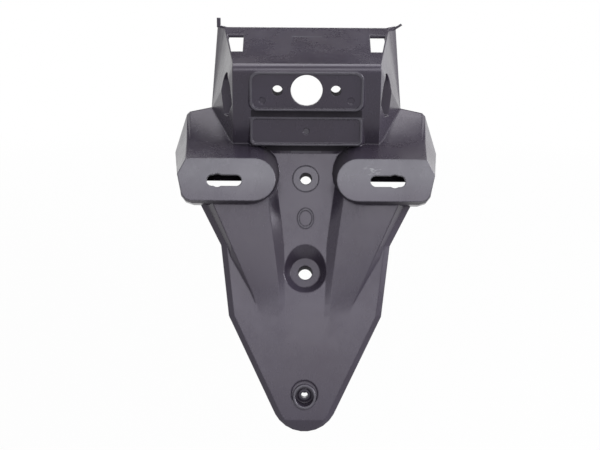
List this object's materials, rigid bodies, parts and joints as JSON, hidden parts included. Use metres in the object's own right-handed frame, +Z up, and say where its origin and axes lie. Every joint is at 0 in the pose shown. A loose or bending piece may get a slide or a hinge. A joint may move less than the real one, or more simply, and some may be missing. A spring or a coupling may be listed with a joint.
{
  "type": "motorcycle rear fender",
  "caption": "Moulded plastic rear fender with a tapered tail plate, slotted signal wings, and a lamp housing with lamp and reflector pads.",
  "frame": {"origin": "centre of the seat of the middle plate bolt, on the bolt's axis", "axes": "+Z up as the fender hangs on the machine, +Y forward, towards the wheel and into the open side of the shell, X across, with the right side of the picture at +X"},
  "size_m": [0.253, 0.1521, 0.3595],
  "materials": {
    "moulded_plastic": "fine moulded grain, satin, faintly scuffed"
  },
  "bodies": {
    "root": {"rear_fender": "moulded_plastic"}
  },
  "joints": []
}
